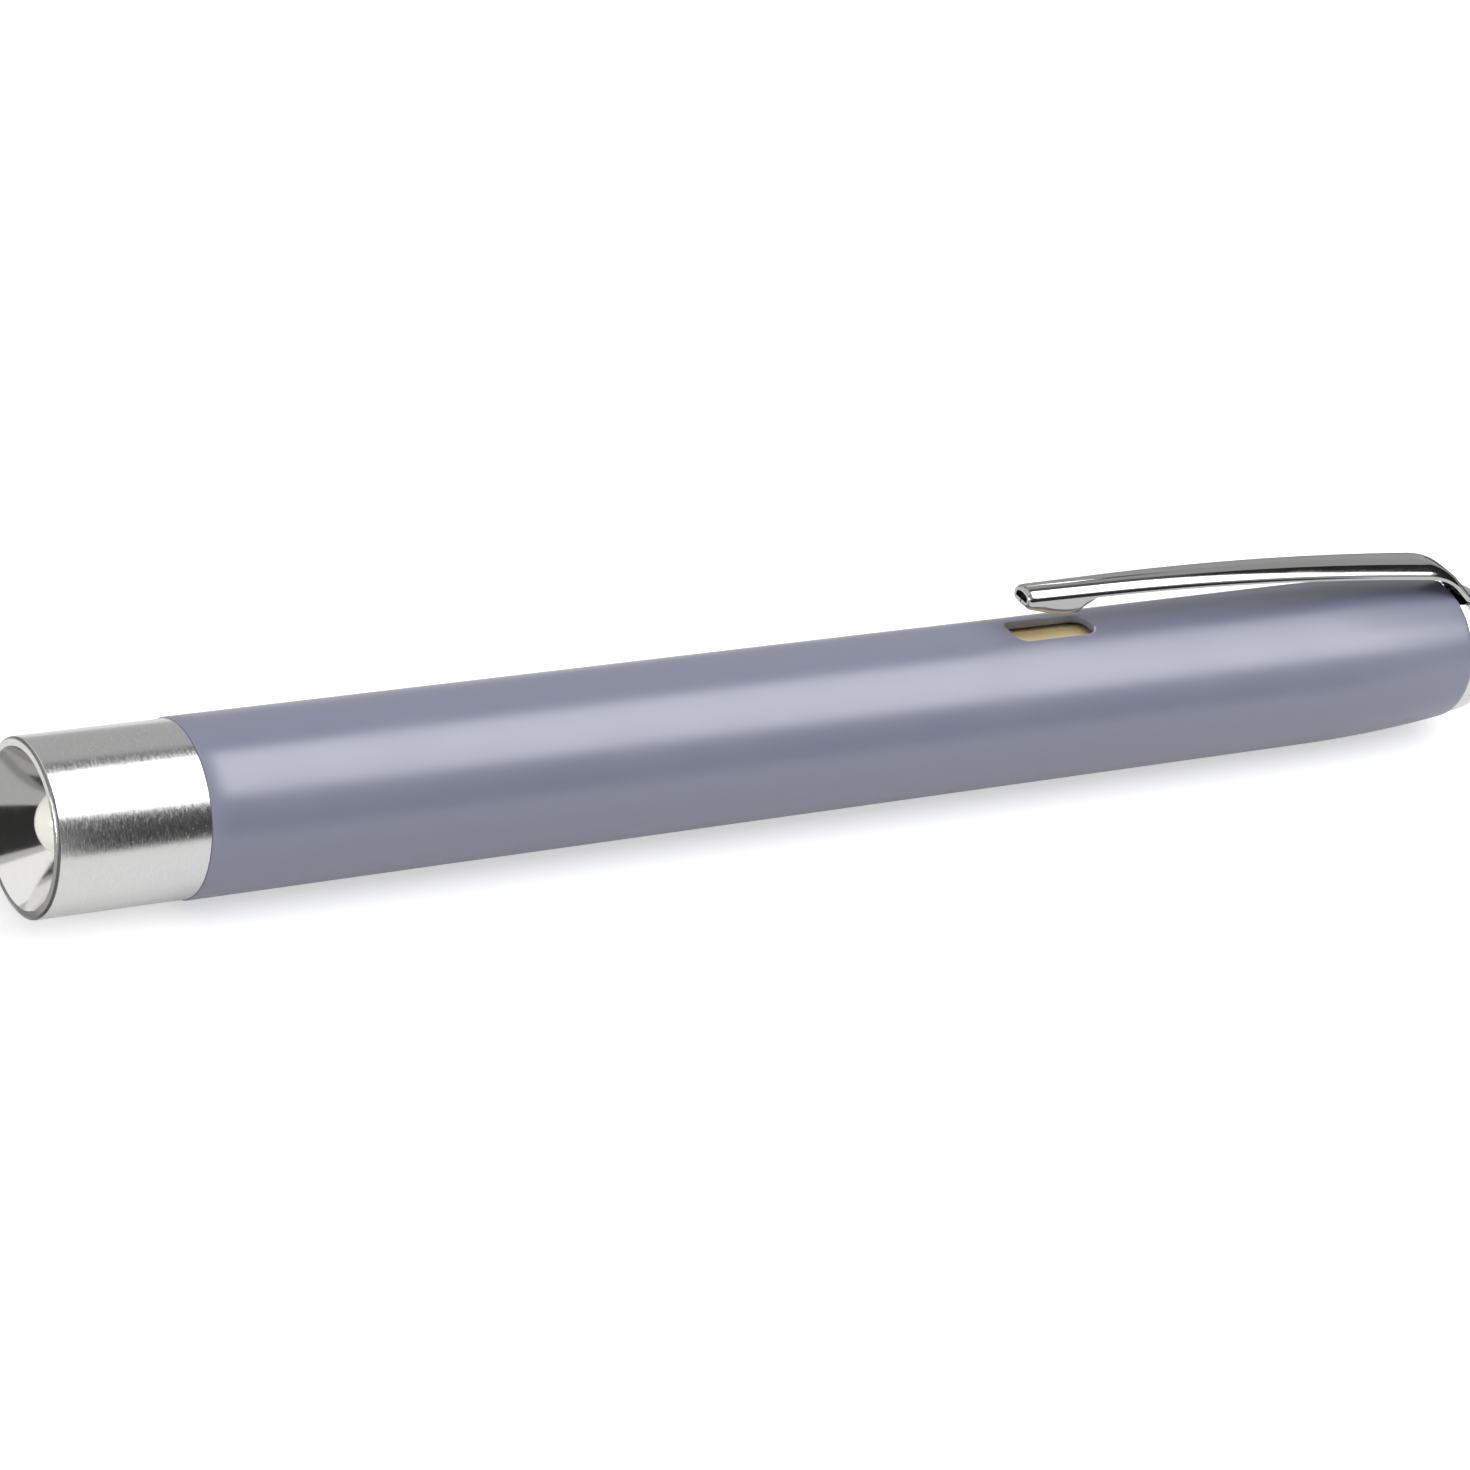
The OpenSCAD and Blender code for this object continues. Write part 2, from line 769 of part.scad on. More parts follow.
// Section of the strap behind the arm, flat on its back, and flattened from 0 at the arm to 1 at the ramp
function strap_ring(s, z, slope, flat_share) =
    let (
        depth = channel_depth + (strap_depth - channel_depth) * flat_share,
        edge_r = clip_edge_r + (strap_edge_r - clip_edge_r) * flat_share
    )
    across_clip(s, z, slope, clip_section(clip_root_w / 2, depth, edge_r, 0, 0, 0));

// Sections round the tip's outer edge
function tip_rings() =
    [for (i = [0 : tip_steps - 1])
        let (turn = 90 * i / tip_steps, u = tip_edge_r * (1 - cos(turn)))
        arm_ring(clip_tip_s + u, clip_back_z, 0, nose_depth_at(u), 1, tip_edge_r * (1 - sin(turn)))];

// Sections through the curled nose
function nose_rings() =
    [for (i = [0 : nose_steps])
        let (u = tip_edge_r + (nose_length - tip_edge_r) * i / nose_steps)
        arm_ring(clip_tip_s + u, clip_back_z, 0, nose_depth_at(u), curl_at(u), 0)];

// Sections along the arched arm
function arch_rings() =
    [for (i = [0 : arch_steps])
        let (slope = arch_angle * i / arch_steps)
        arm_ring(arch_s + arch_r * sin(slope), clip_back_z - arch_r * (1 - cos(slope)), slope,
            channel_depth, 0, 0)];

// Sections down the knee to the ramp, a hair behind the arm's end
function knee_rings() =
    [for (i = [0 : knee_steps])
        let (
            first = arch_angle + root_split / knee_r * 180 / PI,
            slope = first + (ramp_angle - first) * i / knee_steps
        )
        strap_ring(knee_s + knee_r * (sin(slope) - sin(arch_angle)),
            knee_z - knee_r * (cos(arch_angle) - cos(slope)), slope, ease(i / knee_steps))];

// Sections round the foot and down into the ring
function foot_rings() =
    concat(
        [for (i = [0 : foot_steps])
            let (slope = ramp_angle + (90 - ramp_angle) * i / foot_steps)
            strap_ring(foot_back_s - foot_r * (1 - sin(slope)), foot_z + foot_r * cos(slope), slope, 1)],
        [strap_ring(foot_back_s, boss_r + notch_gap, 90, 1)]
    );

// Fixed end of the pressed clip: ring on the stud, foot, ramp and knee
module clip_ring()
{
    color([0.75, 0.75, 0.76])
        union() {
            tube(ring_s, ring_back_s, clip_ring_r, stud_d / 2 + turned_gap);
            skin(concat(knee_rings(), foot_rings()));
        }
}

// Springing arm of the clip: a channel pressed from sheet, curled into the contact nose at its tip
module clip_arm()
{
    color([0.75, 0.75, 0.76])
        skin(concat(tip_rings(), nose_rings(), arch_rings()));
}

reflector_head();
led_lens();
led_cathode();
led_anode();
led_chip();
led_holder();
centre_contact();
retaining_ring();
front_cell_can();
front_cell_label();
front_cell_seal();
front_cell_plate();
rear_cell_can();
rear_cell_label();
rear_cell_seal();
rear_cell_plate();
barrel();
insulating_sleeve();
contact_strip();
spring_seat();
tail_spring();
tail_plug();
clip_ring();
tail_cap();
clip_arm();
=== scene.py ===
import math

import bmesh
import bpy
from mathutils import Matrix, Vector


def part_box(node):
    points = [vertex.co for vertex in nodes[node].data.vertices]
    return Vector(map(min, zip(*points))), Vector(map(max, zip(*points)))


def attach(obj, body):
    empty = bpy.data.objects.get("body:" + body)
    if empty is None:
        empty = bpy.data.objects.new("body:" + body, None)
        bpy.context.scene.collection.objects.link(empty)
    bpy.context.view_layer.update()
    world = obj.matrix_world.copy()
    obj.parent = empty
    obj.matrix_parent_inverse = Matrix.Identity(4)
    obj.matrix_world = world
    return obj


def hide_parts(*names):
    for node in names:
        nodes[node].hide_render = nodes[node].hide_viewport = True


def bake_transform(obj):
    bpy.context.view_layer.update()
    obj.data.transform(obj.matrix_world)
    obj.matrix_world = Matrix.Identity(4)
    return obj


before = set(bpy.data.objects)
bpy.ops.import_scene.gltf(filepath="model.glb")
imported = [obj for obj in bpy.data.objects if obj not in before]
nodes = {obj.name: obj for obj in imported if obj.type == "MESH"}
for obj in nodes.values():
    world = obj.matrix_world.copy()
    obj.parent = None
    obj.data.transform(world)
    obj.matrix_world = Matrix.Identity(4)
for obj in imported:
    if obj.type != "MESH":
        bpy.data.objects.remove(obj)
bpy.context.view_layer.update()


# Lead frame and chip of the lamp
# Two stamped and tinned wires, one with a dished cup that holds the chip under a drop of yellow
# phosphor. They are cast into the clear body, so they are seen only through it.
MM = 0.001


def surface(name, colour, rough, grain, metallic=0.0, tint=0.05, relief=0.0, detail=4.0, **sockets):
    """Finish whose tone, roughness and relief all follow one noise, stretched by its grain per metre."""
    material = bpy.data.materials.new(name)
    material.use_nodes = True
    tree = material.node_tree
    shader = tree.nodes["Principled BSDF"]
    place = tree.nodes.new("ShaderNodeTexCoord")
    stretch = tree.nodes.new("ShaderNodeMapping")
    stretch.inputs["Scale"].default_value = grain
    noise = tree.nodes.new("ShaderNodeTexNoise")
    noise.inputs["Scale"].default_value = 1.0
    noise.inputs["Detail"].default_value = detail
    noise.inputs["Roughness"].default_value = 0.6
    tone = tree.nodes.new("ShaderNodeMix")
    tone.data_type = "RGBA"
    tone.inputs["A"].default_value = (*[c * (1 - tint) for c in colour], 1)
    tone.inputs["B"].default_value = (*[min(1, c * (1 + tint)) for c in colour], 1)
    polish = tree.nodes.new("ShaderNodeMapRange")
    polish.inputs["From Min"].default_value = 0.3
    polish.inputs["From Max"].default_value = 0.7
    polish.inputs["To Min"].default_value = rough[0]
    polish.inputs["To Max"].default_value = rough[1]
    tree.links.new(place.outputs["Object"], stretch.inputs["Vector"])
    tree.links.new(stretch.outputs["Vector"], noise.inputs["Vector"])
    tree.links.new(noise.outputs["Fac"], tone.inputs["Factor"])
    tree.links.new(noise.outputs["Fac"], polish.inputs["Value"])
    tree.links.new(tone.outputs["Result"], shader.inputs["Base Color"])
    tree.links.new(polish.outputs["Result"], shader.inputs["Roughness"])
    if relief:
        bump = tree.nodes.new("ShaderNodeBump")
        bump.inputs["Strength"].default_value = 1.0
        bump.inputs["Distance"].default_value = relief
        tree.links.new(noise.outputs["Fac"], bump.inputs["Height"])
        tree.links.new(bump.outputs["Normal"], shader.inputs["Normal"])
    shader.inputs["Metallic"].default_value = metallic
    for socket, value in sockets.items():
        shader.inputs[socket].default_value = value
    return material


def paint(material, *names):
    """Gives CAD nodes a finish."""
    for name in names:
        for slot in nodes[name].material_slots:
            slot.material = material


tinned = surface("tinned_wire", (0.8, 0.8, 0.77), (0.15, 0.35), (2500, 2500, 2500), metallic=1.0,
                 relief=0.004 * MM)
phosphor = surface("phosphor_drop", (0.93, 0.83, 0.32), (0.5, 0.8), (5000, 5000, 5000), tint=0.12,
                   relief=0.01 * MM)
paint(tinned, "led_cathode", "led_anode")
paint(phosphor, "led_chip")


# Clear body of the lamp
# Cast epoxy, 5 mm across, with a domed end that gathers the light and a flange at its base. The
# flange is clamped between the head's inner seat and the bush behind it.
front_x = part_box("reflector_head")[0].x
axis_z = 6.5 * MM


def pen_point(station, radius, angle):
    """Point at a station from the front rim, in millimetres, and an angle from the top to the -Y side."""
    return Vector((front_x + station * MM, -radius * MM * math.sin(angle),
                   axis_z + radius * MM * math.cos(angle)))


def eased(outline, steps=5):
    """Outline of (station, radius, corner) points with each corner rounded off over its length."""
    soft = []
    for i, (s, r, corner) in enumerate(outline):
        here = Vector((s, r))
        if not corner:
            soft.append(here)
            continue
        before = Vector(outline[i - 1][:2])
        after = Vector(outline[(i + 1) % len(outline)][:2])
        start = here + (before - here).normalized() * corner
        end = here + (after - here).normalized() * corner
        for k in range(steps + 1):
            t = k / steps
            soft.append(start * (1 - t) ** 2 + here * 2 * t * (1 - t) + end * t ** 2)
    return soft


def finished(name, bm, *materials, sharp=35):
    """Object at the origin from a closed bmesh, smooth but for its edges."""
    bmesh.ops.remove_doubles(bm, verts=bm.verts, dist=1e-7)
    bmesh.ops.recalc_face_normals(bm, faces=bm.faces)
    mesh = bpy.data.meshes.new(name)
    bm.to_mesh(mesh)
    bm.free()
    mesh.shade_smooth()
    mesh.set_sharp_from_angle(angle=math.radians(sharp))
    for material in materials:
        mesh.materials.append(material)
    piece = bpy.data.objects.new(name, mesh)
    bpy.context.scene.collection.objects.link(piece)
    return piece


def turned(outline, around=160, closed=True):
    """Bmesh turned about the pen's axis from an outline of (station, radius) points."""
    bm = bmesh.new()
    rings = []
    for s, r in outline:
        if r < 1e-6:
            rings.append([bm.verts.new(pen_point(s, 0, 0))] * around)
        else:
            rings.append([bm.verts.new(pen_point(s, r, 2 * math.pi * k / around)) for k in range(around)])
    pairs = list(zip(rings, rings[1:]))
    if closed:
        pairs.append((rings[-1], rings[0]))
    for one, two in pairs:
        for k in range(around):
            j = (k + 1) % around
            corners = list(dict.fromkeys((one[k], one[j], two[j], two[k])))
            if len(corners) > 2:
                bm.faces.new(corners)
    return bm


lamp_r = 2.5
lamp_tip = 1.25
lamp_back = 9.95
flange_r = 2.9
flange_front = 8.95
dome = [(lamp_tip + lamp_r * (1 - math.cos(math.radians(a))), lamp_r * math.sin(math.radians(a)))
        for a in range(0, 91, 5)]
lamp_outline = dome + [(flange_front, lamp_r), (flange_front, flange_r), (lamp_back, flange_r), (lamp_back, 0)]
epoxy = surface("clear_epoxy", (0.97, 0.97, 0.88), (0.03, 0.08), (600, 600, 600), tint=0.02,
                **{"Transmission Weight": 0.4, "IOR": 1.5})
lamp_body = finished("lamp_body", turned(lamp_outline, 96, closed=False), epoxy)
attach(lamp_body, "head")
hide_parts("led_lens")


# Lamp head
# Turned from bright aluminium bar in one piece. The tool leaves fine rings on the outside, the cone
# in front is polished as the reflector, and the spigot behind carries a thread for the barrel.
head_r = 6.4
head_length = 11.5
mouth_r = 5.74
rim_bevel = 0.2
cone_depth = 6.2
throat_r = 2.55
seat_r = 2.95
bush_bore_r = 4.4
thread_root_r = 5.42
spigot_end = 17.99
seat_gap = 0.02
bevel_inset = 0.02
head_outline = eased([
    (0, mouth_r, 0.06), (0, head_r - rim_bevel, 0.06), (rim_bevel, head_r, 0.06),
    (head_length, head_r, 0.06), (head_length, thread_root_r, 0), (spigot_end, thread_root_r, 0.3),
    (spigot_end, bush_bore_r, 0), (lamp_back, bush_bore_r, 0), (lamp_back, seat_r, 0),
    (flange_front - seat_gap, seat_r, 0), (flange_front - seat_gap, throat_r, 0), (cone_depth, throat_r, 0.08),
])
turned_metal = surface("turned_metal", (0.68, 0.68, 0.675), (0.16, 0.28), (8000, 2600, 2600), metallic=1.0,
                       tint=0.12, relief=0.0045 * MM)
polished_cone = surface("polished_cone", (0.84, 0.835, 0.82), (0.09, 0.16), (2600, 500, 500), metallic=1.0,
                        tint=0.04, relief=0.0008 * MM)
# The front bevel gets a dark metal as a painted dark reflection: the thin dark line along the rim.
bevel_painted_dark = surface("bevel_painted_dark", (0.22, 0.22, 0.215), (0.25, 0.4), (8000, 2600, 2600), metallic=1.0, tint=0.08)
lamp_head = finished("lamp_head", turned(head_outline, 224), turned_metal, polished_cone, bevel_painted_dark)
# Cone faces take the polished finish, and the front bevel's faces take the dark metal of the painted dark
# reflection.
for face in lamp_head.data.polygons:
    deep = (face.center.x - front_x) / MM
    away = math.hypot(face.center.y, face.center.z - axis_z) / MM
    if deep < cone_depth and away < mouth_r:
        face.material_index = 1
    elif deep < rim_bevel - bevel_inset and away > head_r - rim_bevel + bevel_inset:
        face.material_index = 2
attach(lamp_head, "head")
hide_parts("reflector_head")


# Thread of the head
# One right-hand ridge rolled round the spigot at a pitch of 0.75 mm. It shows only while the head
# is being unscrewed.
def coil_tree():
    """Geometry nodes for one round wire wound along Z, laid down along the pen."""
    tree = bpy.data.node_groups.new("wound_wire", "GeometryNodeTree")
    sockets = {}
    for label, kind in (("Turns", "Float"), ("Start Radius", "Float"), ("End Radius", "Float"),
                        ("Length", "Float"), ("Wire Radius", "Float"), ("Start", "Vector"),
                        ("Material", "Material")):
        socket = tree.interface.new_socket(label, in_out="INPUT", socket_type="NodeSocket" + kind)
        sockets[label] = socket.identifier
    tree.interface.new_socket("Geometry", in_out="OUTPUT", socket_type="NodeSocketGeometry")
    add = tree.nodes.new
    entry, leave = add("NodeGroupInput"), add("NodeGroupOutput")
    spiral, ring = add("GeometryNodeCurveSpiral"), add("GeometryNodeCurvePrimitiveCircle")
    sweep, smooth = add("GeometryNodeCurveToMesh"), add("GeometryNodeSetShadeSmooth")
    lay, real = add("GeometryNodeTransform"), add("GeometryNodeRealizeInstances")
    coat = add("GeometryNodeSetMaterial")
    spiral.inputs["Resolution"].default_value = 48
    ring.inputs["Resolution"].default_value = 14
    sweep.inputs["Fill Caps"].default_value = True
    lay.inputs["Rotation"].default_value = (0, -math.pi / 2, 0)
    for label, socket in (("Turns", spiral.inputs["Rotations"]),
                          ("Start Radius", spiral.inputs["Start Radius"]),
                          ("End Radius", spiral.inputs["End Radius"]), ("Length", spiral.inputs["Height"]),
                          ("Wire Radius", ring.inputs["Radius"]), ("Start", lay.inputs["Translation"]),
                          ("Material", coat.inputs["Material"])):
        tree.links.new(entry.outputs[label], socket)
    tree.links.new(spiral.outputs["Curve"], sweep.inputs["Curve"])
    tree.links.new(ring.outputs["Curve"], sweep.inputs["Profile Curve"])
    tree.links.new(sweep.outputs["Mesh"], smooth.inputs["Geometry"])
    tree.links.new(smooth.outputs["Geometry"], lay.inputs["Geometry"])
    tree.links.new(lay.outputs["Geometry"], real.inputs["Geometry"])
    tree.links.new(real.outputs["Geometry"], coat.inputs["Geometry"])
    tree.links.new(coat.outputs["Geometry"], leave.inputs["Geometry"])
    return tree, sockets


wound_wire, wound_sockets = coil_tree()


def wound(name, material, turns, start_r, end_r, start, length, wire_r):
    """Plain mesh of a wire wound from a station towards the lamp, in millimetres."""
    piece = bpy.data.objects.new(name, bpy.data.meshes.new(name))
    bpy.context.scene.collection.objects.link(piece)
    modifier = piece.modifiers.new("wound_wire", "NODES")
    modifier.node_group = wound_wire
    for label, value in (("Turns", float(turns)), ("Start Radius", start_r * MM), ("End Radius", end_r * MM),
                         ("Length", length * MM), ("Wire Radius", wire_r * MM),
                         ("Start", pen_point(start, 0, 0)), ("Material", material)):
        modifier[wound_sockets[label]] = value
    plain = bpy.data.meshes.new_from_object(piece.evaluated_get(bpy.context.evaluated_depsgraph_get()))
    piece.modifiers.clear()
    piece.data = plain
    return piece


thread_pitch = 0.75
thread_turns = 6.5
thread_ridge_r = 0.3
thread_r = 5.44
thread_end = 17.55
head_thread = wound("head_thread", turned_metal, thread_turns, thread_r, thread_r, thread_end,
                    thread_pitch * thread_turns, thread_ridge_r)
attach(head_thread, "head")


# Bush, rivet and retaining ring
# A moulded insulating bush presses the lamp into its seat and carries a brass rivet as the centre
# contact. A slotted brass ring screws in behind and holds the pack in the spigot.
moulded_white = surface("moulded_white", (0.9, 0.9, 0.88), (0.45, 0.65), (900, 900, 900), tint=0.03,
                        relief=0.004 * MM)
turned_brass = surface("turned_brass", (0.83, 0.63, 0.29), (0.18, 0.38), (3200, 700, 700), metallic=1.0,
                       tint=0.08, relief=0.004 * MM)
paint(moulded_white, "led_holder")
paint(turned_brass, "centre_contact", "retaining_ring")


# Cells
# Two AAA cells in line: a nickel-plated can with its nub, a plain shrink sleeve, a black seal ring
# and a plated end plate. They lie loose in the barrel and are pushed to the lamp by the spring.
plated_can = surface("plated_can", (0.76, 0.75, 0.73), (0.2, 0.35), (300, 1500, 1500), metallic=1.0,
                     relief=0.002 * MM)
shrink_sleeve = surface("shrink_sleeve", (0.13, 0.16, 0.2), (0.25, 0.4), (400, 400, 400), tint=0.1,
                        relief=0.003 * MM)
seal_ring = surface("seal_ring", (0.05, 0.05, 0.055), (0.45, 0.6), (1500, 1500, 1500), relief=0.003 * MM)
for cell in ("front_cell", "rear_cell"):
    paint(plated_can, cell + "_can", cell + "_plate")
    paint(shrink_sleeve, cell + "_label")
    paint(seal_ring, cell + "_seal")


# Barrel
# Drawn aluminium tube with a rounded taper at the tail and one punched slot under the clip's tip.
# It is sprayed with a semi-gloss blue-grey lacquer; the near rounded edge of the slot carries a painted
# highlight in a light bare-metal grey.
barrel_r = 6.5
bore_r = 5.8
barrel_front = 11.52
taper_start = 110.54
barrel_end = 125.04
taper_drop = 0.75
bore_step = 117.02
tail_bore_r = 4.85
front_edge = 0.12
slot_start = 81.38
slot_end = 88.88
slot_half_w = 1.45
slot_corner = 1.0
slot_lip = 0.14
tail_edge = 0.1
patch_margin = 1.5
patch_rows = 48
patch_half = 16
patch_rings = 9
patch_ease = 0.7
barrel_around = 256
barrel_angles = [2 * math.pi * k / barrel_around for k in range(barrel_around)]


def slot_point(a, b, grow):
    """Station and sideways place on the slot's rounded outline for a place (a, b) on a square's edge."""
    half_l = (slot_end - slot_start) / 2 + grow
    half_w = slot_half_w + grow
    corner = slot_corner + grow
    x, y = a * half_l, b * half_w
    cx, cy = half_l - corner, half_w - corner
    if abs(x) > cx and abs(y) > cy:
        out = Vector((abs(x) - cx, abs(y) - cy)).normalized() * corner
        x, y = math.copysign(cx + out.x, x), math.copysign(cy + out.y, y)
    return (slot_start + slot_end) / 2 + x, y


def slotted_skin(bm, rows, r):
    """Skin turned over rows of (station, radius) with the slot left open; returns the slot's own loop."""
    low, high = slot_start - patch_margin, slot_end + patch_margin
    first = next(i for i, row in enumerate(rows) if abs(row[0] - low) < 1e-6)
    last = next(i for i, row in enumerate(rows) if abs(row[0] - high) < 1e-6)
    grid = {}
    for i, (s, row_r) in enumerate(rows):
        for k in range(-patch_half, barrel_around - patch_half):
            if not (first < i < last and abs(k) < patch_half):
                grid[i, k % barrel_around] = bm.verts.new(pen_point(s, row_r, barrel_angles[k]))
    for i in range(len(rows) - 1):
        for k in range(-patch_half, barrel_around - patch_half):
            if first <= i < last and -patch_half <= k < patch_half:
                continue
            j = (k + 1) % barrel_around
            bm.faces.new((grid[i, k % barrel_around], grid[i, j], grid[i + 1, j],
                          grid[i + 1, k % barrel_around]))
    square = ([(first, k) for k in range(-patch_half, patch_half)]
              + [(i, patch_half) for i in range(first, last)]
              + [(last, k) for k in range(patch_half, -patch_half, -1)]
              + [(i, -patch_half) for i in range(last, first, -1)])
    loop = [grid[i, k % barrel_around] for i, k in square]
    for ring in range(1, patch_rings + 1):
        share = (ring / patch_rings) ** patch_ease
        inner = []
        for i, k in square:
            s, y = slot_point(2 * (i - first) / (last - first) - 1, k / patch_half, slot_lip)
            angle = math.asin(y / r)
            at = rows[i][0] + (s - rows[i][0]) * share
            turn = k * barrel_angles[1] + (angle - k * barrel_angles[1]) * share
            inner.append(bm.verts.new(pen_point(at, r, turn)))
        for n in range(len(square)):
            m = (n + 1) % len(square)
            bm.faces.new((loop[n], loop[m], inner[m], inner[n]))
        loop = inner
    places = [(2 * (i - first) / (last - first) - 1, k / patch_half) for i, k in square]
    return loop, places


patch_rows_at = [slot_start - patch_margin + (slot_end - slot_start + 2 * patch_margin) * i / patch_rows
                 for i in range(patch_rows + 1)]
taper_length = barrel_end - taper_start
taper_arc_r = (taper_length ** 2 + taper_drop ** 2) / (2 * taper_drop)
straight_start = barrel_front + front_edge
straight = [straight_start + (patch_rows_at[0] - straight_start) * i / 40 for i in range(40)]
behind = [patch_rows_at[-1] + (taper_start - patch_rows_at[-1]) * i / 12 for i in range(1, 12)]
tapered = [(taper_start + taper_length * i / 32,
            barrel_r - taper_arc_r + math.sqrt(taper_arc_r ** 2 - (taper_length * i / 32) ** 2))
           for i in range(33)]
tail_r = barrel_r - taper_drop
outer_rows = ([(barrel_front, barrel_r - front_edge),
               (barrel_front + front_edge / 3, barrel_r - front_edge / 3)]
              + [(s, barrel_r) for s in straight + patch_rows_at + behind] + tapered[:-1]
              + [(barrel_end - 0.8 * tail_edge, tail_r),
                 (barrel_end - 0.2 * tail_edge, tail_r - 0.3 * tail_edge),
                 (barrel_end, tail_r - tail_edge)])
inner_rows = [(barrel_front, bore_r)] + [(s, bore_r) for s in patch_rows_at] + [(bore_step, bore_r)]
barrel_mesh = bmesh.new()
slot_outer, slot_places = slotted_skin(barrel_mesh, outer_rows, barrel_r)
slot_inner, _ = slotted_skin(barrel_mesh, inner_rows, bore_r)
lip_steps = 4
slot_loops = [slot_outer]
for step in range(1, lip_steps + 1):
    turn = math.pi / 2 * step / lip_steps
    slot_loops.append([])
    for a, b in slot_places:
        s, y = slot_point(a, b, slot_lip * (1 - math.sin(turn)))
        z = math.sqrt(barrel_r ** 2 - y ** 2) - slot_lip * (1 - math.cos(turn))
        slot_loops[-1].append(barrel_mesh.verts.new((front_x + s * MM, -y * MM, axis_z + z * MM)))
slot_loops.append(slot_inner)
for step, (one, two) in enumerate(zip(slot_loops, slot_loops[1:])):
    for n in range(len(one)):
        m = (n + 1) % len(one)
        face = barrel_mesh.faces.new((one[n], one[m], two[m], two[n]))
        # The near side of the slot's rounded lip takes the light grey, a painted highlight.
        face.material_index = 1 if step < lip_steps and slot_places[n][1] > 0.5 else 0
ends = [
    [(barrel_front, barrel_r - front_edge), (barrel_front, bore_r)],
    [(bore_step, bore_r), (bore_step, tail_bore_r), (barrel_end, tail_bore_r),
     (barrel_end, tail_r - tail_edge)],
]
for rows in ends:
    rings = [[barrel_mesh.verts.new(pen_point(s, r, angle)) for angle in barrel_angles] for s, r in rows]
    for one, two in zip(rings, rings[1:]):
        for k in range(barrel_around):
            j = (k + 1) % barrel_around
            barrel_mesh.faces.new((one[k], one[j], two[j], two[k]))
lacquer = surface("blue_grey_lacquer", (0.192, 0.203, 0.276), (0.29, 0.33), (150, 150, 150), tint=0.02,
                  detail=0.0, IOR=1.75)
# Light bare-metal grey for the near lip of the slot, a painted highlight.
lip_painted_highlight = surface("lip_painted_highlight", (0.6, 0.6, 0.62), (0.35, 0.5), (2500, 2500, 2500), metallic=0.3)
barrel = finished("barrel_tube", barrel_mesh, lacquer, lip_painted_highlight)
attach(barrel, "barrel")
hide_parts("barrel")


# Insulating sleeve and contact strip
# A rolled fibre sleeve keeps the cells off the barrel. Inside it a rolled brass strip runs from the
# slot to a disc under the spring, and the clip's nose is pressed onto it to close the circuit.
rolled_fibre = surface("rolled_fibre", (0.07, 0.06, 0.05), (0.7, 0.9), (500, 2500, 2500), tint=0.15,
                       relief=0.01 * MM)
rolled_brass = surface("rolled_brass", (0.95, 0.75, 0.4), (0.4, 0.55), (350, 2600, 2600), metallic=0.45,
                       tint=0.1, relief=0.002 * MM)
paint(rolled_fibre, "insulating_sleeve")
strip_outer_r = 5.53
strip_inner_r = 5.33
strip_half_w = 2.3
strip_start = 78.88
disc_start = 115.93
disc_end = 116.23
strip_overlap = 0.1
arc_steps = 24
strip_mesh = turned([(disc_start, 0), (disc_start, strip_outer_r), (disc_end, strip_outer_r), (disc_end, 0)],
                    96, closed=False)
half_turn = math.asin(strip_half_w / strip_outer_r)
arc = [half_turn * (2 * k / arc_steps - 1) for k in range(arc_steps + 1)]
strip_end = disc_start + strip_overlap
corners = [[strip_mesh.verts.new(pen_point(s, r, angle)) for angle in arc]
           for s, r in ((strip_start, strip_outer_r), (strip_end, strip_outer_r), (strip_end, strip_inner_r),
                        (strip_start, strip_inner_r))]
for i in range(4):
    one, two = corners[i], corners[(i + 1) % 4]
    for k in range(arc_steps):
        strip_mesh.faces.new((one[k], one[k + 1], two[k + 1], two[k]))
for k in (0, -1):
    strip_mesh.faces.new([ring[k] for ring in corners])
contact_strip = finished("brass_strip", strip_mesh, rolled_brass)
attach(contact_strip, "barrel")
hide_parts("contact_strip")


# Spring seat, tail spring and tail plug
# A moulded seat stands on the step of the bore and carries the strip's disc. The conical spring of
# plated wire presses on the rear cell, and a turned plug closes the barrel's end.
paint(moulded_white, "spring_seat")
plug_metal = surface("turned_plug", (0.78, 0.78, 0.76), (0.15, 0.32), (3000, 800, 800), metallic=1.0,
                     relief=0.004 * MM)
paint(plug_metal, "tail_plug")
spring_metal = surface("spring_wire", (0.74, 0.73, 0.71), (0.18, 0.32), (4000, 4000, 4000), metallic=1.0,
                       relief=0.003 * MM)
spring_wire_r = 0.35
cells_end = 106.43
spring_gap = 0.02
spring_turns = 5.5
spring_tail_r = 4.1
spring_cell_r = 2.6
spring_start = disc_start - spring_gap - spring_wire_r
spring_run = disc_start - cells_end - 2 * spring_gap - 2 * spring_wire_r
tail_spring = wound("coned_spring", spring_metal, spring_turns, spring_tail_r, spring_cell_r, spring_start,
                    spring_run, spring_wire_r)
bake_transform(tail_spring)
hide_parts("tail_spring")


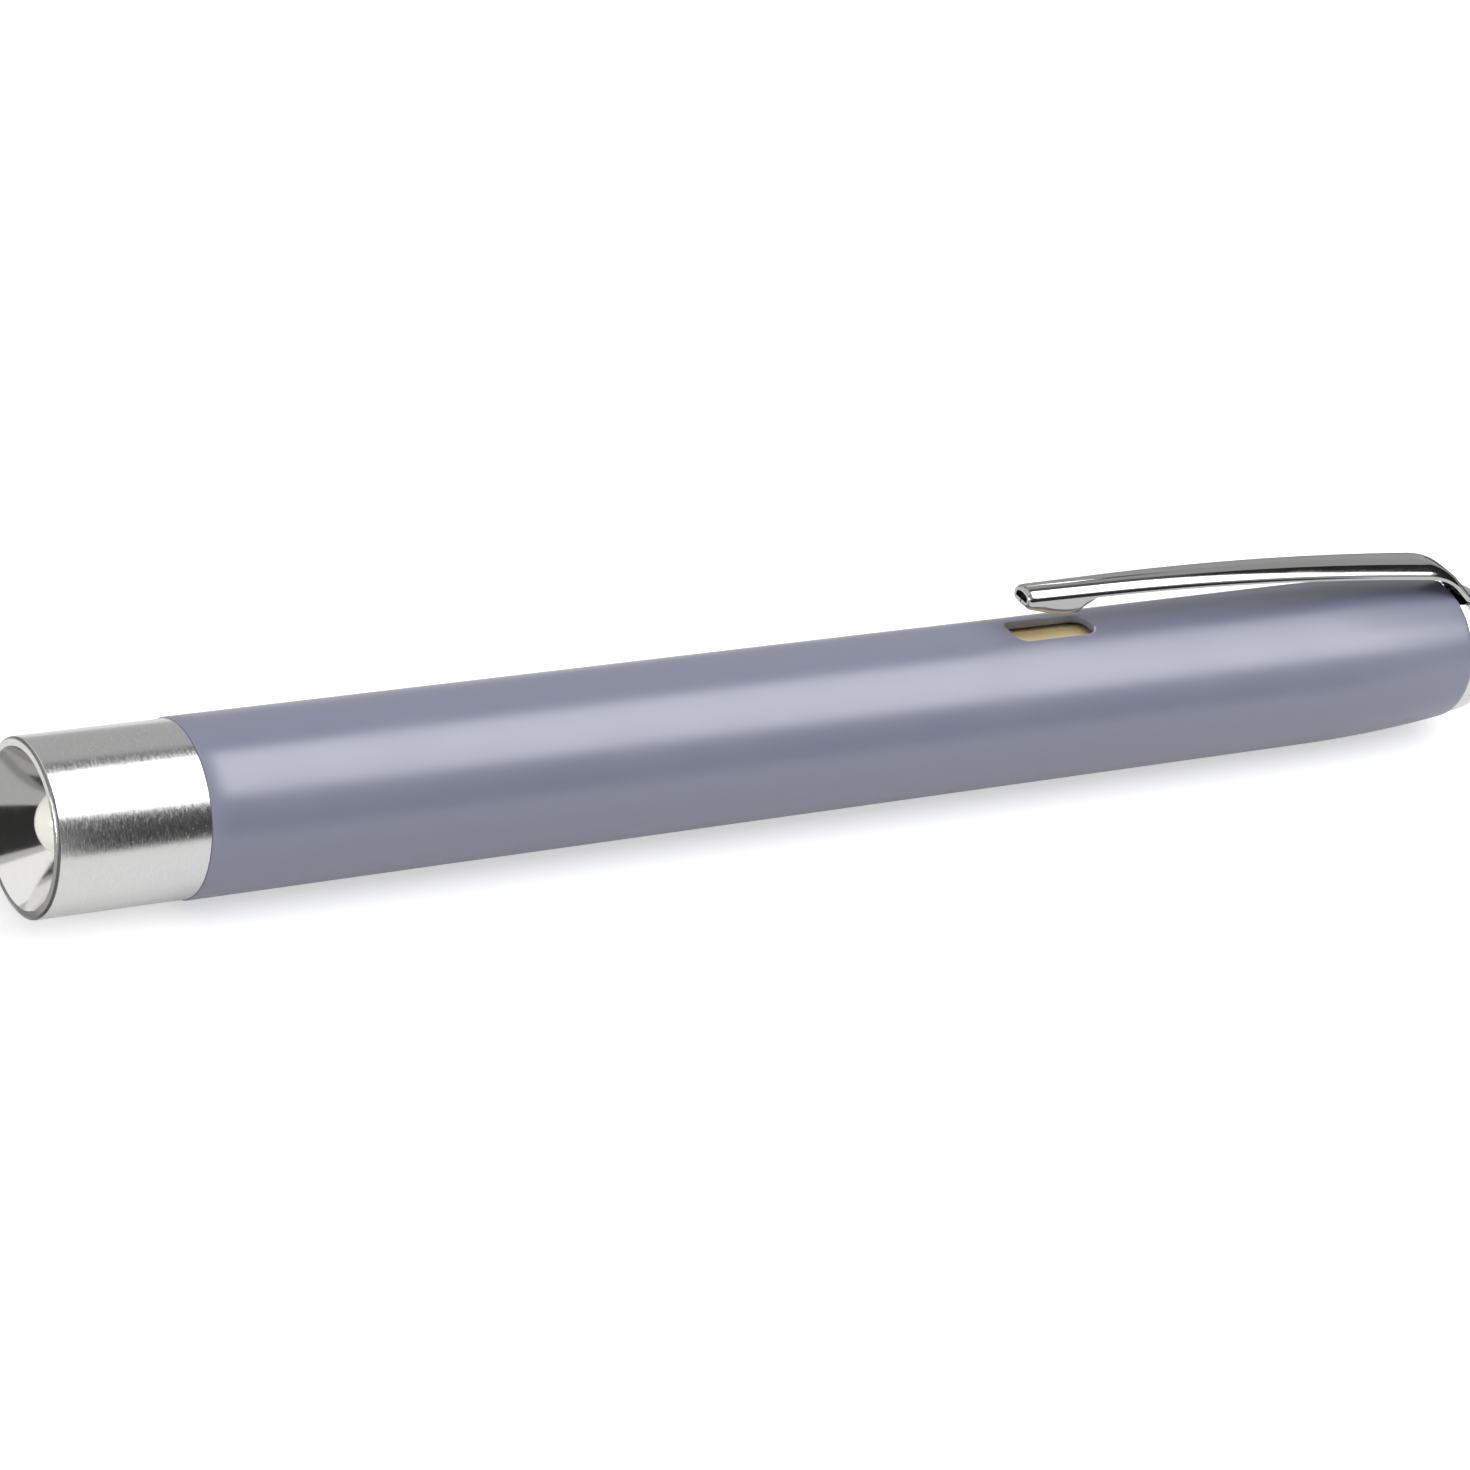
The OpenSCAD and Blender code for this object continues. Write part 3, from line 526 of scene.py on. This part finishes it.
# Pocket clip
# One pressing of springy steel, bright plated: a channel that is curled shut into the contact nose at
# its tip, arches over the barrel, and dives past the barrel's rim to a ring held under the tail cap.
clip_tip = 81.68
clip_reach = 45.95
clip_back_r = 10.3
clip_sheet = 0.45
tip_w = 2.4
root_w = 3.8
channel_depth = 0.9
tip_depth = 1.5
nose_depth = 2.5
nose_length = 6.5
nose_low = 0.66 * nose_length
nose_flat = 0.74 * nose_length
nose_curl_r = 0.95
curl_depth_share = 0.75
clip_slit = 0.1
clip_edge_w = 1.2
clip_edge_r = 0.8
edge_flat = 0.02
back_shares = (0.67, 0.33, 0, -0.33, -0.67)
tip_edge_length = 0.5
tip_edge_r = 0.25
clip_crown = 0.04
strap_depth = 0.7
strap_edge_r = 0.62
arch_r = 315
arch_angle = math.radians(5.85)
knee_r = 7
ramp_angle = math.radians(41)
foot_r = 1.5
foot_z = 4.14
foot_end_z = 3.05
clip_ring_r = 3.7
clip_hole_r = 1.5
ring_front = 127.16
ring_back = 127.65
foot_back = clip_tip + clip_reach
ramp_drop = (clip_back_r - foot_z - foot_r * math.cos(ramp_angle)
             - knee_r * (math.cos(arch_angle) - math.cos(ramp_angle)) - arch_r * (1 - math.cos(arch_angle)))
arm_straight = (clip_reach - arch_r * math.sin(arch_angle)
                - knee_r * (math.sin(ramp_angle) - math.sin(arch_angle))
                - ramp_drop / math.tan(ramp_angle) - foot_r * (1 - math.sin(ramp_angle)))
arch_s = clip_tip + arm_straight
knee_s = arch_s + arch_r * math.sin(arch_angle)
knee_z = clip_back_r - arch_r * (1 - math.cos(arch_angle))
curl_steps = 10
edge_steps = 12


def smooth_step(t):
    return (1 - math.cos(math.pi * t)) / 2


def nose_depth_at(u):
    """Depth of the channel at a distance from the tip, through the nose and on."""
    if u < nose_low:
        return tip_depth + (nose_depth - tip_depth) * math.sin(math.pi / 2 * u / nose_low)
    if u < nose_flat:
        return nose_depth
    return nose_depth + (channel_depth - nose_depth) * smooth_step((u - nose_flat) / (nose_length - nose_flat))


def curl_at(u):
    """How far the channel's edges are curled together there."""
    return 1 if u < nose_flat else 1 - smooth_step((u - nose_flat) / (nose_length - nose_flat))


def half_section(half_w, depth, edge_r, curl, inset):
    """Half of the clip's section from an edge to its back, drawn in by an inset for the inner side."""
    curl_r = min(nose_curl_r, (depth - edge_r) * curl_depth_share)
    edge_w = min(clip_edge_w, half_w - edge_flat)
    points = []
    for j in range(curl_steps + 2):
        turn = math.pi / 2 * (1 - max(j - 1, 0) / curl_steps)
        plain = Vector((half_w - inset, curl_r * j / (curl_steps + 1) - depth))
        rolled = Vector((half_w - curl_r + (curl_r - inset) * math.cos(turn),
                         curl_r - depth - (curl_r - inset) * math.sin(turn)))
        if j == 0:
            rolled = Vector((clip_slit / 2, inset - depth))
        points.append(plain.lerp(rolled, curl))
    for k in range(edge_steps + 1):
        turn = math.pi / 2 * k / edge_steps
        points.append(Vector((half_w - edge_w + (edge_w - inset) * math.cos(turn),
                              (edge_r - inset) * math.sin(turn) - edge_r)))
    return points


def clip_section(half_w, depth, edge_r, curl, crown, trim):
    """Whole section: over the back on the outside, trimmed there, and back again on the inside."""
    outer = half_section(half_w, depth, edge_r, curl, trim)
    inner = half_section(half_w, depth, edge_r, curl, clip_sheet)
    back = [Vector((outer[-1].x * t, crown * (1 - t * t) - trim)) for t in back_shares]
    under = [Vector((p.x, p.y + trim - clip_sheet)) for p in reversed(back)]
    return (outer + back + [Vector((-p.x, p.y)) for p in reversed(outer)]
            + [Vector((-p.x, p.y)) for p in inner] + under + list(reversed(inner)))


clip_mesh = bmesh.new()
clip_rings = []


def clip_ring_at(s, z, slope, half_w, depth=channel_depth, edge_r=clip_edge_r, curl=0, crown=clip_crown,
                 trim=0):
    """Adds one section of the clip, set across its run."""
    clip_rings.append([clip_mesh.verts.new((front_x + (s + p.y * math.sin(slope)) * MM, p.x * MM,
                                            axis_z + (z + p.y * math.cos(slope)) * MM))
                       for p in clip_section(half_w, depth, edge_r, curl, crown, trim)])


def arm_half_w(s):
    return (tip_w + (root_w - tip_w) * (s - clip_tip) / (knee_s - clip_tip)) / 2


for i in range(6):
    turn = math.pi / 2 * i / 6
    u = tip_edge_length * (1 - math.cos(turn))
    clip_ring_at(clip_tip + u, clip_back_r, 0, arm_half_w(clip_tip + u), nose_depth_at(u), curl=1,
                 trim=tip_edge_r * (1 - math.sin(turn)))
for i in range(56):
    u = tip_edge_length + (nose_length - tip_edge_length) * i / 55
    clip_ring_at(clip_tip + u, clip_back_r, 0, arm_half_w(clip_tip + u), nose_depth_at(u), curl=curl_at(u))
for i in range(61):
    slope = arch_angle * i / 60
    s = arch_s + arch_r * math.sin(slope)
    clip_ring_at(s, clip_back_r - arch_r * (1 - math.cos(slope)), slope, arm_half_w(s))
for i in range(1, 25):
    slope = arch_angle + (ramp_angle - arch_angle) * i / 24
    flat = smooth_step(i / 24)
    clip_ring_at(knee_s + knee_r * (math.sin(slope) - math.sin(arch_angle)),
                 knee_z - knee_r * (math.cos(arch_angle) - math.cos(slope)), slope, root_w / 2,
                 channel_depth + (strap_depth - channel_depth) * flat,
                 clip_edge_r + (strap_edge_r - clip_edge_r) * flat, crown=clip_crown * (1 - flat))
for i in range(17):
    slope = ramp_angle + (math.pi / 2 - ramp_angle) * i / 16
    clip_ring_at(foot_back - foot_r * (1 - math.sin(slope)), foot_z + foot_r * math.cos(slope), slope,
                 root_w / 2, strap_depth, strap_edge_r, crown=0)
clip_ring_at(foot_back, foot_end_z, math.pi / 2, root_w / 2, strap_depth, strap_edge_r, crown=0)
count = len(clip_rings[0])
for one, two in zip(clip_rings, clip_rings[1:]):
    for k in range(count):
        j = (k + 1) % count
        clip_mesh.faces.new((one[k], one[j], two[j], two[k]))
for ring in (clip_rings[0], clip_rings[-1]):
    for k in range(count // 2 - 1):
        clip_mesh.faces.new((ring[k], ring[k + 1], ring[count - 2 - k], ring[count - 1 - k]))
washer = bpy.data.meshes.new("clip_washer")
washer_mesh = turned([(ring_front, clip_hole_r), (ring_front, clip_ring_r), (ring_back, clip_ring_r),
                      (ring_back, clip_hole_r)], 96)
washer_mesh.to_mesh(washer)
washer_mesh.free()
clip_mesh.from_mesh(washer)
bpy.data.meshes.remove(washer)
plated_steel = surface("plated_steel", (0.48, 0.48, 0.475), (0.07, 0.14), (260, 2200, 2200), metallic=1.0,
                       tint=0.04, relief=0.0008 * MM)
pocket_clip = finished("pocket_clip", clip_mesh, plated_steel)
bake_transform(pocket_clip)
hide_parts("clip_arm", "clip_ring")


# Tail cap
# Turned and domed from the same bright bar as the head, with a notch milled in its edge for the
# clip's foot. It screws on the plug's stud and clamps the clip's ring.
cap_r = 5.5
cap_front = 125.09
cap_dome = 125.94
cap_mouth_r = 4.7
cap_mouth_end = 126.39
cap_seat_r = 3.9
cap_clamp = 127.67
stud_bore_r = 1.5
stud_bore_end = 129.45
notch_half_w = 2.05
notch_low = 2.9
dome_arc = [(cap_dome + cap_r * math.sin(math.radians(a)), cap_r * math.cos(math.radians(a)))
            for a in range(0, 91, 3)]
cap_edge = eased([(cap_front, cap_mouth_r, 0.05), (cap_front, cap_r, 0.12), (cap_dome, cap_r, 0)])[:-1]
cap_outline = ([tuple(p) for p in cap_edge] + dome_arc[:-1] + [(dome_arc[-1][0], 0)])
cap_inside = [(stud_bore_end, 0), (stud_bore_end, stud_bore_r), (cap_clamp, stud_bore_r),
              (cap_clamp, cap_seat_r), (cap_mouth_end, cap_seat_r), (cap_mouth_end, cap_mouth_r)]
cap_mesh = turned(cap_outline + cap_inside, 192)
tail_cap = finished("domed_cap", cap_mesh, turned_metal)
notch_mesh = bmesh.new()
bmesh.ops.create_cube(notch_mesh, size=1)
for vert in notch_mesh.verts:
    vert.co = (front_x + (cap_front - 1 if vert.co.x < 0 else cap_clamp) * MM,
               math.copysign(notch_half_w, vert.co.y) * MM,
               axis_z + (notch_low if vert.co.z < 0 else cap_r + 1) * MM)
notch = finished("notch_cutter", notch_mesh)
cut = tail_cap.modifiers.new("notch", "BOOLEAN")
cut.operation = "DIFFERENCE"
cut.solver = "EXACT"
cut.object = notch
plain_cap = bpy.data.meshes.new_from_object(tail_cap.evaluated_get(bpy.context.evaluated_depsgraph_get()))
tail_cap.modifiers.clear()
tail_cap.data = plain_cap
bpy.data.objects.remove(notch)
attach(tail_cap, "barrel")
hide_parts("tail_cap")


# Studio
# White floor under the pen, one soft box over its right-hand side and a small lamp before its mouth, in a
# plain grey room. Dark, grey and white cards are hidden from the camera, so that only mirrors see them.
camera_glow = 2.25


def stage_card(name, corners, colour, glow):
    """Flat stage card with a matt colour and a glow that mirrors see, and the camera sees more strongly."""
    mesh = bpy.data.meshes.new(name)
    mesh.from_pydata(corners, [], [tuple(range(len(corners)))])
    material = bpy.data.materials.new(name)
    material.use_nodes = True
    tree = material.node_tree
    shader = tree.nodes["Principled BSDF"]
    shader.inputs["Base Color"].default_value = (colour, colour, colour, 1)
    shader.inputs["Roughness"].default_value = 0.9
    shader.inputs["Specular IOR Level"].default_value = 0.0
    shader.inputs["Emission Color"].default_value = (1, 1, 1, 1)
    path = tree.nodes.new("ShaderNodeLightPath")
    mirrored = tree.nodes.new("ShaderNodeMath")
    seen = tree.nodes.new("ShaderNodeMath")
    seen.operation = "MULTIPLY_ADD"
    seen.inputs[1].default_value = camera_glow
    strength = tree.nodes.new("ShaderNodeMath")
    strength.operation = "MULTIPLY"
    strength.inputs[1].default_value = glow
    tree.links.new(path.outputs["Is Glossy Ray"], mirrored.inputs[0])
    tree.links.new(path.outputs["Is Transmission Ray"], mirrored.inputs[1])
    tree.links.new(path.outputs["Is Camera Ray"], seen.inputs[0])
    tree.links.new(mirrored.outputs["Value"], seen.inputs[2])
    tree.links.new(seen.outputs["Value"], strength.inputs[0])
    tree.links.new(strength.outputs["Value"], shader.inputs["Emission Strength"])
    mesh.materials.append(material)
    card = bpy.data.objects.new(name, mesh)
    bpy.context.scene.collection.objects.link(card)
    return card


stage_card("floor", [(-4, -4, -0.0003), (4, -4, -0.0003), (4, 4, -0.0003), (-4, 4, -0.0003)], 0.62, 0.24)
box_way = Vector((0.5146, -0.2945, 0.8055)).normalized()
box_across = (Vector((1, 0, 0)) - box_way * box_way.x).normalized()
box_up = box_way.cross(box_across)


def before_box(away, *places):
    """Corners square to the soft box, at a distance from the pen and at places across and up."""
    return [box_way * away + box_across * across + box_up * up for across, up in places]


cards = (
    ("near_dark_card", [(-0.05, -0.05, 0.0006), (0.09, -0.05, 0.0006), (0.33, -0.55, 0.43),
                        (0.1, -0.55, 0.43)], 0.03),
    ("upper_dim_card", before_box(0.88, (-0.5, 0.455), (0.25, 0.43), (0.38, 0.78), (-0.5, 0.8)), 0.16),
    ("far_dark_card", before_box(0.86, (0.17, 0.43), (0.21, -0.02), (0.42, -0.05), (0.48, -0.65), (1.6, -0.65),
                                 (1.6, 1.4), (0.37, 0.74)), 0.02),
    ("tail_dim_card", [(0.066, 0.012, 0.0002), (0.4, 0.05, 0.0002), (0.4, 0.45, 0.0002), (0.1, 0.3, 0.0002),
                       (0.066, 0.06, 0.0002)], 0.12),
    ("lamp_dark_card", [(-0.068, -0.0248, 0.0004), (-0.5, -0.2, 0.0004), (-0.527, -0.075, 0.17),
                        (-0.112, -0.125, 0.4865)], 0.015),
    # The grey card and the darker strip on the floor before the mouth are painted shadow: they stand in for
    # the pen's own shadow there, as the cone mirrors it.
    ("mouth_shadow_grey_card", [(-0.0659, -0.0248, 0.0002), (-0.0659, 0.012, 0.0002), (-0.3, 0.012, 0.0002),
                        (-0.3, -0.1189, 0.0002)], 0.42),
    ("rim_dark_card", [(-0.386, -0.052, 0.2385), (-0.426, -0.068, 0.1585), (-0.41, -0.2, 0.0665),
                       (-0.354, -0.2, 0.1865)], 0.03),
    ("mouth_shadow_dark_strip", [(-0.0659, -0.02, 0.0003), (-0.0659, 0.012, 0.0003), (-0.0672, 0.012, 0.0003),
                         (-0.0672, -0.02, 0.0003)], 0.25),
    ("lamp_white_card", [(-0.622, -0.014, 0.4265), (-0.132, -0.07, 0.7), (-0.076, 0.665, 0.2165),
                         (-0.552, 0.455, 0.2165)], 0.95),
)
for name, corners, glow in cards:
    card = stage_card(name, corners, 0.02, glow)
    card.visible_camera = False
    card.visible_diffuse = False
    card.visible_shadow = False
    card.visible_transmission = False

world = bpy.data.worlds.new("grey_room")
world.use_nodes = True
world.node_tree.nodes["Background"].inputs["Color"].default_value = (0.52, 0.52, 0.52, 1)
world.node_tree.nodes["Background"].inputs["Strength"].default_value = 1.0
bpy.context.scene.world = world

soft_box = bpy.data.lights.new("soft_box", "AREA")
soft_box.shape = "RECTANGLE"
soft_box.size = 0.76
soft_box.size_y = 0.88
soft_box.energy = 8.0
lamp = bpy.data.objects.new("soft_box", soft_box)
lamp.matrix_world = Matrix((box_across, box_up, box_way)).transposed().to_4x4()
lamp.location = box_way * 0.9 - box_across * 0.01
bpy.context.scene.collection.objects.link(lamp)

mouth_fill = bpy.data.lights.new("mouth_fill", "AREA")
mouth_fill.size = 0.08
mouth_fill.energy = 0.75
fill = bpy.data.objects.new("mouth_fill", mouth_fill)
fill.rotation_euler = (0, -math.pi / 2, 0)
fill.location = (-0.36, -0.01, 0.035)
bpy.context.scene.collection.objects.link(fill)

camera = bpy.data.cameras.new("camera")
camera.sensor_width = 36
camera.lens = 113.51
camera.clip_start = 0.01
view = bpy.data.objects.new("camera", camera)
ahead = Vector((0.5146, 0.7102, -0.4804)).normalized()
right = Vector((0.8504, -0.4944, 0.18))
right = (right - ahead * right.dot(ahead)).normalized()
view.matrix_world = Matrix((right, right.cross(ahead), -ahead)).transposed().to_4x4()
view.location = (-0.187196, -0.247367, 0.173942)
bpy.context.scene.collection.objects.link(view)
bpy.context.scene.camera = view
bpy.context.scene.view_settings.view_transform = "Standard"
